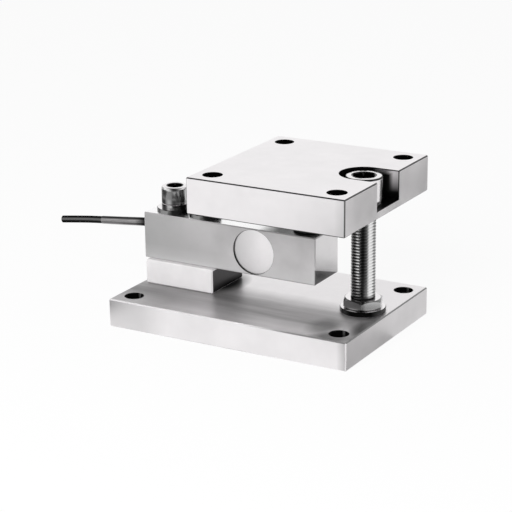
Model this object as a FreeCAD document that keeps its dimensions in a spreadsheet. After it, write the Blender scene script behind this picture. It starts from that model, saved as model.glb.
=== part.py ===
# Weighing module: a shear beam load cell bolted to a base plate carries a top plate on a load pin,
# and a hold-down bolt through the top plate's slot keeps the plate from lifting off.
# Frame: origin at the middle of the base plate's underside, X along the beam, Z up, millimetres.
import FreeCAD, Part
import math
import os
import Sketcher

doc = FreeCAD.newDocument("weighing_module")
sheet = doc.addObject("Spreadsheet::Sheet", "Sizes")

driving_sizes = {
    # base plate and its anchor holes
    "base_length": 175.0,
    "base_width": 120.0,
    "base_thickness": 19.0,
    "anchor_spacing_long": 152.0,
    "anchor_spacing_cross": 94.0,
    "anchor_hole": 13.0,
    "plate_edge_break": 0.7,
    # spacer under the fixed end of the beam
    "spacer_length": 52.0,
    "spacer_width": 40.0,
    "spacer_height": 16.6,
    "spacer_setback": 3.2,
    "spacer_edge_break": 0.8,
    # shear beam
    "beam_length": 130.0,
    "beam_side": 31.8,
    "beam_setback": 0.5,
    "beam_edge_break": 0.6,
    # screws that clamp the beam and the spacer to the base
    "screw_diameter": 12.0,
    "screw_length": 70.0,
    "screw_clearance": 13.0,
    "screw_end_distance": 15.0,
    "screw_spacing": 25.4,
    "screw_head": 18.0,
    "screw_head_height": 12.0,
    "screw_socket": 10.0,
    "screw_socket_mouth": 11.8,
    "screw_socket_depth": 6.0,
    "flat_washer_outer": 24.6,
    "flat_washer_height": 2.0,
    "spring_washer_outer": 18.2,
    "spring_washer_bore": 12.4,
    "spring_washer_height": 2.5,
    "spring_washer_gap": 1.6,
    # gauge pockets in the two sides of the beam, and what they hold
    "pocket_place": 84.4,
    "pocket_diameter": 24.0,
    "web_thickness": 3.0,
    "cover_diameter": 30.0,
    "cover_gap": 0.1,
    "cover_recess": 2.4,
    "cover_thickness": 1.3,
    "gauge_side": 8.0,
    "gauge_thickness": 0.2,
    "board_length": 12.0,
    "board_width": 4.0,
    "board_thickness": 1.0,
    "board_offset": 7.3,
    # gland, wire channel and cable on the beam's fixed end
    "exit_offset": 9.8,
    "exit_height": 15.9,
    "channel_diameter": 3.6,
    "gland_thread": 8.0,
    "gland_thread_depth": 7.0,
    "gland_flange": 12.0,
    "gland_flange_height": 3.5,
    "gland_collar": 7.6,
    "gland_collar_length": 4.0,
    "gland_bore": 5.2,
    "seal_outer": 6.2,
    "seal_length": 3.0,
    "nut_outer": 10.6,
    "nut_tip": 8.0,
    "nut_reach": 12.0,
    "nut_dome": 3.0,
    "nut_mouth": 6.3,
    "sleeve_root": 6.1,
    "sleeve_tip": 5.6,
    "sleeve_bore": 5.1,
    "cable_diameter": 5.0,
    "cable_start": 3.0,
    "core_diameter": 1.1,
    "core_spacing": 1.3,
    "core_bend": 3.0,
    # load pin and its seats
    "load_end_distance": 12.7,
    "pin_diameter": 16.0,
    "pin_dome": 40.0,
    "pin_bore": 17.0,
    "pin_bore_depth": 20.0,
    "cup_height": 5.0,
    "cup_dish": 0.8,
    "cup_dish_radius": 42.0,
    "ring_section": 2.4,
    "bearing_diameter": 30.0,
    "bearing_height": 6.0,
    # top plate with its mounting holes and the slot for the hold-down bolt
    "top_length": 112.0,
    "top_width": 120.0,
    "top_thickness": 24.0,
    "top_gap": 18.6,
    "top_spacing_long": 88.0,
    "top_spacing_cross": 94.0,
    "top_hole": 13.0,
    "slot_width": 32.0,
    "slot_floor": 5.0,
    "slot_hole": 22.0,
    # hold-down bolt with its lock nut and washer
    "bolt_place": 69.3,
    "bolt_diameter": 16.0,
    "bolt_length": 90.0,
    "bolt_head": 24.0,
    "bolt_head_height": 16.0,
    "bolt_lift": 2.0,
    "bolt_socket": 14.0,
    "bolt_socket_mouth": 16.6,
    "bolt_socket_depth": 8.0,
    "head_edge_break": 1.2,
    "tip_edge_break": 1.5,
    "nut_flats": 24.0,
    "nut_height": 6.0,
    "nut_face": 22.8,
    "nut_bevel": 30.0,
    "nut_turn": -8.7,
    "washer_outer": 30.0,
    "washer_bore": 17.0,
    "washer_height": 3.0,
    "washer_edge_break": 0.4,
}

for row, (alias, number) in enumerate(driving_sizes.items(), start=1):
    sheet.set(f"A{row}", alias)
    sheet.set(f"B{row}", str(number))
    sheet.setAlias(f"B{row}", alias)
doc.recompute()


class Size:
    """A length with its number and the sheet formula that gives it."""

    def __init__(self, number, text):
        self.number = number
        self.text = text

    def join(self, sign, other, number):
        return Size(number, f"({self.text} {sign} {other.text})")

    def __add__(self, other):
        other = as_size(other)
        return self.join("+", other, self.number + other.number)

    def __sub__(self, other):
        other = as_size(other)
        return self.join("-", other, self.number - other.number)

    def __mul__(self, other):
        other = as_size(other)
        return self.join("*", other, self.number * other.number)

    def __truediv__(self, other):
        other = as_size(other)
        return self.join("/", other, self.number / other.number)

    def __neg__(self):
        return self * -1


def as_size(value):
    if isinstance(value, Size):
        return value
    return Size(float(value), f"({float(value):.9f})")


def cell(alias):
    return Size(float(sheet.get(alias)), "Sizes." + alias)


def bind(item, path, value):
    item.setExpression(path, as_size(value).text)


# Helpers that make bodies, sketches and features whose sizes follow the sheet
def new_body(label, x=0, y=0, z=0, turn=None):
    body = doc.addObject("PartDesign::Body", label)
    body.Label = label
    place(body, x, y, z, turn)
    return body


def place(item, x=0, y=0, z=0, turn=None):
    if turn:
        item.Placement = FreeCAD.Placement(FreeCAD.Vector(), turn)
    bind(item, "Placement.Base.x", x)
    bind(item, "Placement.Base.y", y)
    bind(item, "Placement.Base.z", z)


def origin_item(body, role):
    return next(item for item in body.Origin.OriginFeatures if item.Role == role)


def new_sketch(body, name, role="XY_Plane", lift=0):
    sketch = body.newObject("Sketcher::SketchObject", f"{body.Name}_{name}")
    sketch.AttachmentSupport = [(origin_item(body, role), "")]
    sketch.MapMode = "FlatFace"
    bind(sketch, "AttachmentOffset.Base.z", lift)
    return sketch


def locate(sketch, geometry, point, x, y):
    """Fix one point of a sketch by its two distances from the sketch's origin."""
    for kind, axis, distance in (("DistanceX", -2, as_size(x)), ("DistanceY", -1, as_size(y))):
        if distance.number == 0:
            sketch.addConstraint(Sketcher.Constraint("PointOnObject", geometry, point, axis))
            continue
        index = sketch.addConstraint(Sketcher.Constraint(kind, -1, 1, geometry, point, distance.number))
        name = f"{kind}_{geometry}_{point}"
        sketch.renameConstraint(index, name)
        bind(sketch, "Constraints." + name, distance)


def outline(sketch, corners):
    """Closed outline of straight lines through the given corners."""
    corners = [(as_size(x), as_size(y)) for x, y in corners]
    points = [FreeCAD.Vector(x.number, y.number, 0) for x, y in corners]
    count = len(points)
    first = sketch.GeometryCount
    for i in range(count):
        sketch.addGeometry(Part.LineSegment(points[i], points[(i + 1) % count]))
    for i in range(count):
        sketch.addConstraint(Sketcher.Constraint("Coincident", first + i, 2, first + (i + 1) % count, 1))
    for i in range(count):
        locate(sketch, first + i, 1, *corners[i])


def rectangle(sketch, left, right, low, high):
    outline(sketch, [(left, low), (right, low), (right, high), (left, high)])


def hexagon(sketch, flats):
    corner = flats / math.sqrt(3)
    angles = [math.radians(60 * i) for i in range(6)]
    outline(sketch, [(corner * round(math.cos(a), 9), corner * round(math.sin(a), 9)) for a in angles])


def circle(sketch, diameter, x=0, y=0):
    x, y = as_size(x), as_size(y)
    centre = FreeCAD.Vector(x.number, y.number, 0)
    up = FreeCAD.Vector(0, 0, 1)
    geometry = sketch.addGeometry(Part.Circle(centre, up, diameter.number / 2))
    index = sketch.addConstraint(Sketcher.Constraint("Diameter", geometry, diameter.number))
    name = f"Diameter_{geometry}"
    sketch.renameConstraint(index, name)
    bind(sketch, "Constraints." + name, diameter)
    locate(sketch, geometry, 3, x, y)


def pad(body, sketch, length):
    feature = body.newObject("PartDesign::Pad", sketch.Name + "_pad")
    feature.Profile = sketch
    bind(feature, "Length", length)
    return finished(body, feature)


def pocket(body, sketch, depth, outward=False):
    """Cut a sketch's outline into the body, against the sketch's normal unless it is outward."""
    before = body.Shape.Volume
    feature = body.newObject("PartDesign::Pocket", sketch.Name + "_pocket")
    feature.Profile = sketch
    feature.Reversed = outward
    bind(feature, "Length", depth)
    finished(body, feature)
    if body.Shape.Volume > before - 1e-3:
        raise RuntimeError(feature.Name + " cuts nothing")
    return feature


def turned(body, sketch, kind="Revolution"):
    feature = body.newObject("PartDesign::" + kind, sketch.Name + "_turn")
    feature.Profile = sketch
    feature.ReferenceAxis = (sketch, ["V_Axis"])
    feature.Angle = 360.0
    return finished(body, feature)


def chamfer(body, size, chosen):
    """Bevel the edges of the body's last feature that the test chooses."""
    base = body.Tip
    names = [f"Edge{i}" for i, edge in enumerate(base.Shape.Edges, start=1) if chosen(edge)]
    feature = body.newObject("PartDesign::Chamfer", f"{base.Name}_chamfer")
    feature.Base = (base, names)
    bind(feature, "Size", size)
    return finished(body, feature)


def finished(body, feature):
    doc.recompute()
    body.Tip = feature
    doc.recompute()
    return feature


def every_edge(edge):
    return True


def round_edge(diameter, level):
    """Test for the circular edges of one diameter at one height of a turned piece."""

    def chosen(edge):
        if not isinstance(edge.Curve, Part.Circle):
            return False
        same_size = abs(edge.Curve.Radius - diameter.number / 2) < 1e-4
        return same_size and abs(edge.Curve.Center.z - as_size(level).number) < 1e-4

    return chosen


def ring(label, outer, bore, height, x, y, z):
    body = new_body(label, x, y, z)
    sketch = new_sketch(body, "outline")
    circle(sketch, outer)
    circle(sketch, bore)
    pad(body, sketch, height)
    return body


def flat_washer(label, outer, bore, height, x, z):
    """Ring whose upper rim is rolled over by the punch."""
    body = ring(label, outer, bore, height, x, 0, z)
    chamfer(body, cell("washer_edge_break"), round_edge(outer, height))
    return body


def disc(label, diameter, height, x, y, z, turn=None):
    body = new_body(label, x, y, z, turn)
    sketch = new_sketch(body, "outline")
    circle(sketch, diameter)
    pad(body, sketch, height)
    return body


def group(label, members):
    compound = doc.addObject("Part::Compound", label)
    compound.Label = label
    compound.Links = members
    doc.recompute()
    return compound


# Levels and places that the pieces share
base_top = cell("base_thickness")
beam_bottom = base_top + cell("spacer_height")
beam_side = cell("beam_side")
beam_top = beam_bottom + beam_side
beam_left = cell("beam_setback") - cell("base_length") / 2
beam_half = beam_side / 2
top_bottom = beam_top + cell("top_gap")
load_x = beam_left + cell("beam_length") - cell("load_end_distance")
bolt_x = cell("bolt_place")
screw_places = [beam_left + cell("screw_end_distance")]
screw_places.append(screw_places[0] + cell("screw_spacing"))
screw_hole = cell("screw_clearance")
pocket_x = beam_left + cell("pocket_place")
pocket_z = beam_bottom + beam_half
web_half = cell("web_thickness") / 2
exit_y = cell("exit_offset")
exit_z = beam_bottom + cell("exit_height")

out_of_beam = FreeCAD.Rotation(FreeCAD.Vector(0, 1, 0), -90)
to_front = FreeCAD.Rotation(FreeCAD.Vector(1, 0, 0), 90)
to_rear = FreeCAD.Rotation(FreeCAD.Vector(1, 0, 0), -90)
parts = []


# Base plate: anchor holes in the corners, tapped holes for the beam's screws and the hold-down bolt
def make_base_plate():
    body = new_body("base_plate")
    half_length = cell("base_length") / 2
    half_width = cell("base_width") / 2
    blank = new_sketch(body, "blank")
    rectangle(blank, -half_length, half_length, -half_width, half_width)
    pad(body, blank, base_top)
    chamfer(body, cell("plate_edge_break"), every_edge)
    anchors = new_sketch(body, "anchors", lift=base_top)
    for x_side in (-1, 1):
        for y_side in (-1, 1):
            x = cell("anchor_spacing_long") * (x_side / 2)
            y = cell("anchor_spacing_cross") * (y_side / 2)
            circle(anchors, cell("anchor_hole"), x, y)
    pocket(body, anchors, base_top)
    tapped = new_sketch(body, "tapped", lift=base_top)
    for x in screw_places:
        circle(tapped, cell("screw_diameter"), x)
    circle(tapped, cell("bolt_diameter"), bolt_x)
    pocket(body, tapped, base_top)
    return body


# Spacer block: wider than the beam, and drilled for the two screws
def make_spacer_block():
    left = beam_left + cell("spacer_setback")
    body = new_body("spacer_block", left, 0, base_top)
    half_width = cell("spacer_width") / 2
    blank = new_sketch(body, "blank")
    rectangle(blank, 0, cell("spacer_length"), -half_width, half_width)
    pad(body, blank, cell("spacer_height"))
    chamfer(body, cell("spacer_edge_break"), every_edge)
    drilled = new_sketch(body, "drilled", lift=cell("spacer_height"))
    for x in screw_places:
        circle(drilled, screw_hole, x - left)
    pocket(body, drilled, cell("spacer_height"))
    return body


# Shear beam: two blind gauge pockets leave a thin web at mid width, and a wire channel beside the
# screw holes joins the rear pocket to the gland in the fixed end
def make_load_cell_beam():
    body = new_body("load_cell_beam", beam_left, 0, beam_bottom)
    length = cell("beam_length")
    blank = new_sketch(body, "blank")
    rectangle(blank, 0, length, -beam_half, beam_half)
    pad(body, blank, beam_side)
    chamfer(body, cell("beam_edge_break"), every_edge)

    drilled = new_sketch(body, "drilled", lift=beam_side)
    for x in screw_places:
        circle(drilled, screw_hole, x - beam_left)
    pocket(body, drilled, beam_side)
    load_bore = new_sketch(body, "load_bore", lift=beam_side)
    circle(load_bore, cell("pin_bore"), length - cell("load_end_distance"))
    pocket(body, load_bore, cell("pin_bore_depth"))

    recess = new_sketch(body, "cover_recess", "XZ_Plane", lift=beam_half)
    circle(recess, cell("cover_diameter") + cell("cover_gap") * 2, cell("pocket_place"), beam_half)
    recess_cut = pocket(body, recess, cell("cover_recess"))
    hollow = new_sketch(body, "gauge_pocket", "XZ_Plane", lift=beam_half)
    circle(hollow, cell("pocket_diameter"), cell("pocket_place"), beam_half)
    hollow_cut = pocket(body, hollow, beam_half - web_half)
    mirrored = body.newObject("PartDesign::Mirrored", "gauge_pockets_mirrored")
    mirrored.Originals = [recess_cut, hollow_cut]
    mirrored.MirrorPlane = (origin_item(body, "XZ_Plane"), [""])
    finished(body, mirrored)

    gland_hole = new_sketch(body, "gland_hole", "YZ_Plane")
    circle(gland_hole, cell("gland_thread"), exit_y, cell("exit_height"))
    pocket(body, gland_hole, cell("gland_thread_depth"), outward=True)
    channel = new_sketch(body, "wire_channel", "YZ_Plane")
    circle(channel, cell("channel_diameter"), exit_y, cell("exit_height"))
    pocket(body, channel, cell("pocket_place"), outward=True)
    return body


# Gauge covers: discs let into the beam's sides, a little below the surface
def make_gauge_cover(label, side, turn):
    seat = (beam_half - cell("cover_recess")) * side
    return disc(label, cell("cover_diameter"), cell("cover_thickness"), pocket_x, seat, pocket_z, turn)


# Shear gauge: a foil patch bonded to one face of the web
def make_shear_gauge(label, side):
    patch = doc.addObject("Part::Box", label)
    patch.Label = label
    half = cell("gauge_side") / 2
    thickness = cell("gauge_thickness")
    bind(patch, "Length", cell("gauge_side"))
    bind(patch, "Width", thickness)
    bind(patch, "Height", cell("gauge_side"))
    y = web_half if side > 0 else -web_half - thickness
    place(patch, pocket_x - half, y, pocket_z - half)
    return patch


# Terminal board: a strip bonded to the rear of the web, where the cable's cores are soldered
def make_terminal_board():
    board = doc.addObject("Part::Box", "terminal_board")
    board.Label = "terminal_board"
    width, length = cell("board_width"), cell("board_length")
    bind(board, "Length", width)
    bind(board, "Width", cell("board_thickness"))
    bind(board, "Height", length)
    place(board, pocket_x - cell("board_offset") - width / 2, web_half, pocket_z - length / 2)
    return board


# Lead wires: the cable's four cores run along the channel and turn in to the terminal board
def make_lead_wires():
    start_x = (beam_left - cell("cable_start")).number
    board_x = (pocket_x - cell("board_offset")).number
    board_face = (web_half + cell("board_thickness")).number
    radius = cell("core_diameter").number / 2
    step = cell("core_spacing").number / 2
    bend = cell("core_bend").number
    cores = []
    for y_side in (-1, 1):
        for z_side in (-1, 1):
            y = exit_y.number + y_side * step
            z = exit_z.number + z_side * step
            leg_x = board_x + y_side * step
            corner = [(start_x, y), (leg_x - bend, y), (leg_x, y - bend), (leg_x, board_face)]
            middle = (leg_x - bend + bend * math.sin(math.pi / 4), y - bend + bend * math.cos(math.pi / 4))
            run, begin, end, foot = [FreeCAD.Vector(px, py, z) for px, py in corner]
            path = Part.Wire([
                Part.LineSegment(run, begin).toShape(),
                Part.Arc(begin, FreeCAD.Vector(*middle, z), end).toShape(),
                Part.LineSegment(end, foot).toShape(),
            ])
            section = Part.Wire([Part.makeCircle(radius, run, FreeCAD.Vector(1, 0, 0))])
            cores.append(path.makePipeShell([section], True, False))
    wires = doc.addObject("Part::Feature", "lead_wires")
    wires.Label = "lead_wires"
    wires.Shape = Part.makeCompound(cores)
    return wires


# Gland: a threaded body with a hexagon, a rubber seal in its collar and a domed nut, along its own Z
def make_gland_body():
    body = new_body("gland_body", beam_left, exit_y, exit_z, out_of_beam)
    depth = cell("gland_thread_depth")
    flange = new_sketch(body, "flange")
    hexagon(flange, cell("gland_flange"))
    pad(body, flange, cell("gland_flange_height"))
    spigot = new_sketch(body, "spigot", lift=-depth)
    circle(spigot, cell("gland_thread"))
    pad(body, spigot, depth)
    collar = new_sketch(body, "collar", lift=cell("gland_flange_height"))
    circle(collar, cell("gland_collar"))
    pad(body, collar, cell("gland_collar_length"))
    end = cell("gland_flange_height") + cell("gland_collar_length")
    bore = new_sketch(body, "bore", lift=end)
    circle(bore, cell("gland_bore"))
    pocket(body, bore, end + depth)
    seat = new_sketch(body, "seal_seat", lift=end)
    circle(seat, cell("seal_outer"))
    pocket(body, seat, cell("seal_length"))
    return body


def make_gland_seal():
    start = cell("gland_flange_height") + cell("gland_collar_length") - cell("seal_length")
    body = new_body("gland_seal", beam_left - start, exit_y, exit_z, out_of_beam)
    sketch = new_sketch(body, "outline")
    circle(sketch, cell("seal_outer"))
    circle(sketch, cell("cable_diameter"))
    pad(body, sketch, cell("seal_length"))
    return body


def make_gland_nut():
    body = new_body("gland_nut", beam_left, exit_y, exit_z, out_of_beam)
    low = cell("gland_flange_height")
    inside = low + cell("gland_collar_length")
    reach = cell("nut_reach")
    profile = new_sketch(body, "profile", "XZ_Plane")
    outline(profile, [
        (cell("gland_collar") / 2, low),
        (cell("nut_outer") / 2, low),
        (cell("nut_outer") / 2, reach - cell("nut_dome")),
        (cell("nut_tip") / 2, reach),
        (cell("nut_mouth") / 2, reach),
        (cell("nut_mouth") / 2, reach - cell("nut_dome")),
        (cell("gland_bore") / 2, reach - cell("nut_dome")),
        (cell("gland_bore") / 2, inside),
        (cell("gland_collar") / 2, inside),
    ])
    turned(body, profile)
    return body


# Cable route: it leaves the gland level and droops under its own weight to its cut end
cable_points = [
    (-90.0, 51.5),
    (-101.0, 51.5),
    (-114.5, 50.0),
    (-131.0, 48.3),
    (-147.5, 46.75),
    (-161.5, 44.9),
    (-173.0, 43.3),
]
corner_share = 0.45
sleeve_edges = 6


def cable_edges():
    """Straight runs joined by tangent arcs, each arc as large as its two runs allow."""
    points = [FreeCAD.Vector(x, exit_y.number, z) for x, z in cable_points]
    edges = []
    radii = []
    last = points[0]
    for before, corner, after in zip(points, points[1:], points[2:]):
        back = (before - corner).normalize()
        ahead = (after - corner).normalize()
        reach = corner_share * min(before.distanceToPoint(corner), after.distanceToPoint(corner))
        half_turn = (math.pi - back.getAngle(ahead)) / 2
        radius = reach / math.tan(half_turn)
        begin = corner + back * reach
        end = corner + ahead * reach
        inward = (back + ahead).normalize()
        middle = corner + inward * (radius / math.cos(half_turn) - radius)
        edges.append(Part.LineSegment(last, begin).toShape())
        edges.append(Part.Arc(begin, middle, end).toShape())
        radii.append(radius)
        last = end
    edges.append(Part.LineSegment(last, points[-1]).toShape())
    return edges, radii


def circle_across(edge, share, diameter):
    """Circle square to an edge, at a share of the edge's length."""
    at = edge.FirstParameter + (edge.LastParameter - edge.FirstParameter) * share
    return Part.Wire([Part.makeCircle(diameter / 2, edge.valueAt(at), edge.tangentAt(at))])


def make_signal_cable():
    edges, radii = cable_edges()
    path = Part.Wire(edges)
    diameter = cell("cable_diameter").number
    cable = doc.addObject("Part::Feature", "signal_cable")
    cable.Label = "signal_cable"
    cable.Shape = path.makePipeShell([circle_across(edges[0], 0.0, diameter)], True, False)
    swept = math.pi * diameter ** 2 / 4 * path.Length
    print("cable length", round(path.Length, 2), "radii", [round(radius, 1) for radius in radii])
    print("cable volume", round(cable.Shape.Volume, 1), "section times length", round(swept, 1))
    return cable


# Strain relief sleeve: a tapered tube on the cable, from the shoulder in the nut's mouth to its own tip
def make_strain_relief_sleeve():
    edges = cable_edges()[0][:sleeve_edges]
    seat = (cell("nut_reach") - cell("nut_dome") - cell("cable_start")).number
    whole = sum(edge.Length for edge in edges) - seat
    root = cell("sleeve_root").number
    taper = root - cell("sleeve_tip").number
    skin, bore = [], []
    reached = -seat
    for number, edge in enumerate(edges):
        shares = (0.5, 1.0) if number else (seat / edge.Length,)
        for share in shares:
            along = (reached + edge.Length * share) / whole
            skin.append(circle_across(edge, share, root - taper * along))
            bore.append(circle_across(edge, share, cell("sleeve_bore").number))
        reached += edge.Length
    sleeve = doc.addObject("Part::Feature", "strain_relief_sleeve")
    sleeve.Label = "strain_relief_sleeve"
    sleeve.Shape = Part.makeLoft(skin, True, True).cut(Part.makeLoft(bore, True, True))
    return sleeve


# Socket head screw: chamfered head, hexagon socket with a coned mouth, bevelled tip, head above z 0
def socket_screw(label, x, z, prefix, head_break):
    body = new_body(label, x, 0, z)
    head, height = cell(prefix + "_head"), cell(prefix + "_head_height")
    length = cell(prefix + "_length")
    depth = cell(prefix + "_socket_depth")
    blank = new_sketch(body, "head")
    circle(blank, head)
    pad(body, blank, height)
    chamfer(body, head_break, round_edge(head, height))
    shank = new_sketch(body, "shank", lift=-length)
    circle(shank, cell(prefix + "_diameter"))
    pad(body, shank, length)
    chamfer(body, cell("tip_edge_break"), round_edge(cell(prefix + "_diameter"), -length))
    socket = new_sketch(body, "socket", lift=height)
    hexagon(socket, cell(prefix + "_socket"))
    pocket(body, socket, depth)
    mouth = cell(prefix + "_socket_mouth") / 2
    funnel = new_sketch(body, "socket_mouth", "XZ_Plane")
    outline(funnel, [(0, height), (mouth, height), (0, height - mouth / 2)])
    turned(body, funnel, "Groove")
    return body


def spring_washer(label, x, z):
    """Split ring, its gap at the rear."""
    body = ring(label, cell("spring_washer_outer"), cell("spring_washer_bore"), cell("spring_washer_height"),
                x, 0, z)
    split = new_sketch(body, "split", lift=cell("spring_washer_height"))
    half_gap = cell("spring_washer_gap") / 2
    rectangle(split, -half_gap, half_gap, cell("spring_washer_bore") / 4, cell("spring_washer_outer"))
    pocket(body, split, cell("spring_washer_height"))
    return body


def make_mounting_screws():
    flats, springs, screws = [], [], []
    spring_z = beam_top + cell("flat_washer_height")
    head_z = spring_z + cell("spring_washer_height")
    for number, x in enumerate(screw_places, start=1):
        flats.append(flat_washer(f"flat_washer_{number}", cell("flat_washer_outer"), screw_hole,
                                 cell("flat_washer_height"), x, beam_top))
        springs.append(spring_washer(f"spring_washer_{number}", x, spring_z))
        screws.append(socket_screw(f"mounting_screw_{number}", x, head_z, "screw", cell("head_edge_break")))
    return [
        group("mounting_flat_washers", flats),
        group("mounting_spring_washers", springs),
        group("mounting_screws", screws),
    ]


# Load pin: domed at both ends, standing in a dished cup in the beam and meeting the bearing plate above
cup_bottom = beam_top - cell("pin_bore_depth")
pin_bottom = cup_bottom + cell("cup_height") - cell("cup_dish")


def make_bearing_cup():
    body = new_body("bearing_cup_blank", load_x, 0, cup_bottom)
    blank = new_sketch(body, "blank")
    circle(blank, cell("pin_bore"))
    pad(body, blank, cell("cup_height"))
    # the dish is the spherical cap that the ball cuts out of the cup's top face
    ball = doc.addObject("Part::Sphere", "cup_dish_ball")
    bind(ball, "Radius", cell("cup_dish_radius"))
    place(ball, load_x, 0, pin_bottom + cell("cup_dish_radius"))
    cup = doc.addObject("Part::Cut", "bearing_cup")
    cup.Label = "bearing_cup"
    cup.Base = body
    cup.Tool = ball
    doc.recompute()
    return cup


def make_load_pin():
    length = top_bottom - pin_bottom
    shank = doc.addObject("Part::Cylinder", "load_pin_shank")
    bind(shank, "Radius", cell("pin_diameter") / 2)
    bind(shank, "Height", length)
    place(shank, load_x, 0, pin_bottom)
    domes = []
    dome = cell("pin_dome")
    for name, centre in (("load_pin_foot", pin_bottom + dome), ("load_pin_crown", top_bottom - dome)):
        ball = doc.addObject("Part::Sphere", name)
        bind(ball, "Radius", dome)
        place(ball, load_x, 0, centre)
        domes.append(ball)
    pin = doc.addObject("Part::MultiCommon", "load_pin")
    pin.Shapes = [shank] + domes
    pin.Label = "load_pin"
    doc.recompute()
    return pin


def make_pin_seal_ring():
    seal = doc.addObject("Part::Torus", "pin_seal_ring")
    seal.Label = "pin_seal_ring"
    half_section = cell("ring_section") / 2
    bind(seal, "Radius1", cell("pin_diameter") / 2 + half_section)
    bind(seal, "Radius2", half_section)
    place(seal, load_x, 0, beam_top + half_section)
    doc.recompute()
    return seal


def make_bearing_plate():
    return disc("bearing_plate", cell("bearing_diameter"), cell("bearing_height"), load_x, 0, top_bottom)


# Top plate: a round-ended slot, open at the right edge, sinks the hold-down bolt's head
def make_top_plate():
    body = new_body("top_plate", load_x, 0, top_bottom)
    thickness = cell("top_thickness")
    half_length = cell("top_length") / 2
    half_width = cell("top_width") / 2
    blank = new_sketch(body, "blank")
    rectangle(blank, -half_length, half_length, -half_width, half_width)
    pad(body, blank, thickness)
    chamfer(body, cell("plate_edge_break"), every_edge)

    holes = new_sketch(body, "holes", lift=thickness)
    for x_side in (-1, 1):
        for y_side in (-1, 1):
            x = cell("top_spacing_long") * (x_side / 2)
            y = cell("top_spacing_cross") * (y_side / 2)
            circle(holes, cell("top_hole"), x, y)
    pocket(body, holes, thickness)

    slot = new_sketch(body, "slot", lift=thickness)
    slot_outline(slot, bolt_x - load_x, half_length, cell("slot_width") / 2)
    pocket(body, slot, thickness - cell("slot_floor"))
    clearance = new_sketch(body, "bolt_clearance", lift=thickness)
    circle(clearance, cell("slot_hole"), bolt_x - load_x)
    pocket(body, clearance, thickness)

    seat = new_sketch(body, "bearing_seat")
    circle(seat, cell("bearing_diameter"))
    pocket(body, seat, cell("bearing_height"), outward=True)
    return body


def slot_outline(sketch, centre_x, mouth_x, half_width):
    """Half round tangent to two straight sides that run out through the mouth."""
    low = FreeCAD.Vector(centre_x.number, -half_width.number, 0)
    high = FreeCAD.Vector(centre_x.number, half_width.number, 0)
    mouth_low = FreeCAD.Vector(mouth_x.number, -half_width.number, 0)
    mouth_high = FreeCAD.Vector(mouth_x.number, half_width.number, 0)
    round_end = Part.Circle(FreeCAD.Vector(centre_x.number, 0, 0), FreeCAD.Vector(0, 0, 1), half_width.number)
    arc = sketch.addGeometry(Part.ArcOfCircle(round_end, math.pi / 2, 3 * math.pi / 2))
    lower = sketch.addGeometry(Part.LineSegment(low, mouth_low))
    mouth = sketch.addGeometry(Part.LineSegment(mouth_low, mouth_high))
    upper = sketch.addGeometry(Part.LineSegment(mouth_high, high))
    sketch.addConstraint(Sketcher.Constraint("Tangent", arc, 2, lower, 1))
    sketch.addConstraint(Sketcher.Constraint("Coincident", lower, 2, mouth, 1))
    sketch.addConstraint(Sketcher.Constraint("Coincident", mouth, 2, upper, 1))
    sketch.addConstraint(Sketcher.Constraint("Tangent", upper, 2, arc, 1))
    sketch.addConstraint(Sketcher.Constraint("Horizontal", lower))
    sketch.addConstraint(Sketcher.Constraint("Vertical", mouth))
    radius = sketch.addConstraint(Sketcher.Constraint("Radius", arc, half_width.number))
    sketch.renameConstraint(radius, "round_end")
    bind(sketch, "Constraints.round_end", half_width)
    locate(sketch, arc, 3, centre_x, 0)
    reach = sketch.addConstraint(Sketcher.Constraint("DistanceX", -1, 1, mouth, 1, mouth_x.number))
    sketch.renameConstraint(reach, "mouth_reach")
    bind(sketch, "Constraints.mouth_reach", mouth_x)


# Hold-down bolt: it screws into the base, and its head sits just clear of the slot's floor
def make_hold_down_bolt():
    under_head = top_bottom + cell("slot_floor") + cell("bolt_lift")
    return socket_screw("hold_down_bolt", bolt_x, under_head, "bolt", cell("head_edge_break"))


# Lock nut: a thin hexagon whose corners are turned off at both faces
def make_hold_down_nut():
    turn = FreeCAD.Rotation(FreeCAD.Vector(0, 0, 1), cell("nut_turn").number)
    flats, height = cell("nut_flats"), cell("nut_height")
    body = new_body("hold_down_nut", bolt_x, 0, base_top + cell("washer_height"), turn)
    blank = new_sketch(body, "blank")
    hexagon(blank, flats)
    pad(body, blank, height)
    face = cell("nut_face") / 2
    beyond = flats / math.sqrt(3) + cell("tip_edge_break")
    drop = (beyond - face) * math.tan(math.radians(cell("nut_bevel").number))
    corners = new_sketch(body, "corners", "XZ_Plane")
    outline(corners, [(face, height), (beyond, height), (beyond, height - drop)])
    outline(corners, [(face, 0), (beyond, drop), (beyond, 0)])
    turned(body, corners, "Groove")
    bore = new_sketch(body, "bore", lift=height)
    circle(bore, cell("bolt_diameter"))
    pocket(body, bore, height)
    return body


def make_hold_down_washer():
    return flat_washer("hold_down_washer", cell("washer_outer"), cell("washer_bore"), cell("washer_height"),
                       bolt_x, base_top)


parts.append(make_base_plate())
parts.append(make_spacer_block())
parts.append(make_load_cell_beam())
parts.append(make_gauge_cover("gauge_cover_front", -1, to_front))
parts.append(make_gauge_cover("gauge_cover_rear", 1, to_rear))
parts.append(make_shear_gauge("shear_gauge_front", -1))
parts.append(make_shear_gauge("shear_gauge_rear", 1))
parts.append(make_terminal_board())
parts.append(make_lead_wires())
parts.append(make_gland_body())
parts.append(make_gland_seal())
parts.append(make_gland_nut())
parts.append(make_signal_cable())
parts.append(make_strain_relief_sleeve())
parts.extend(make_mounting_screws())
parts.append(make_bearing_cup())
parts.append(make_load_pin())
parts.append(make_pin_seal_ring())
parts.append(make_bearing_plate())
parts.append(make_top_plate())
parts.append(make_hold_down_bolt())
parts.append(make_hold_down_nut())
parts.append(make_hold_down_washer())
doc.recompute()

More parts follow.
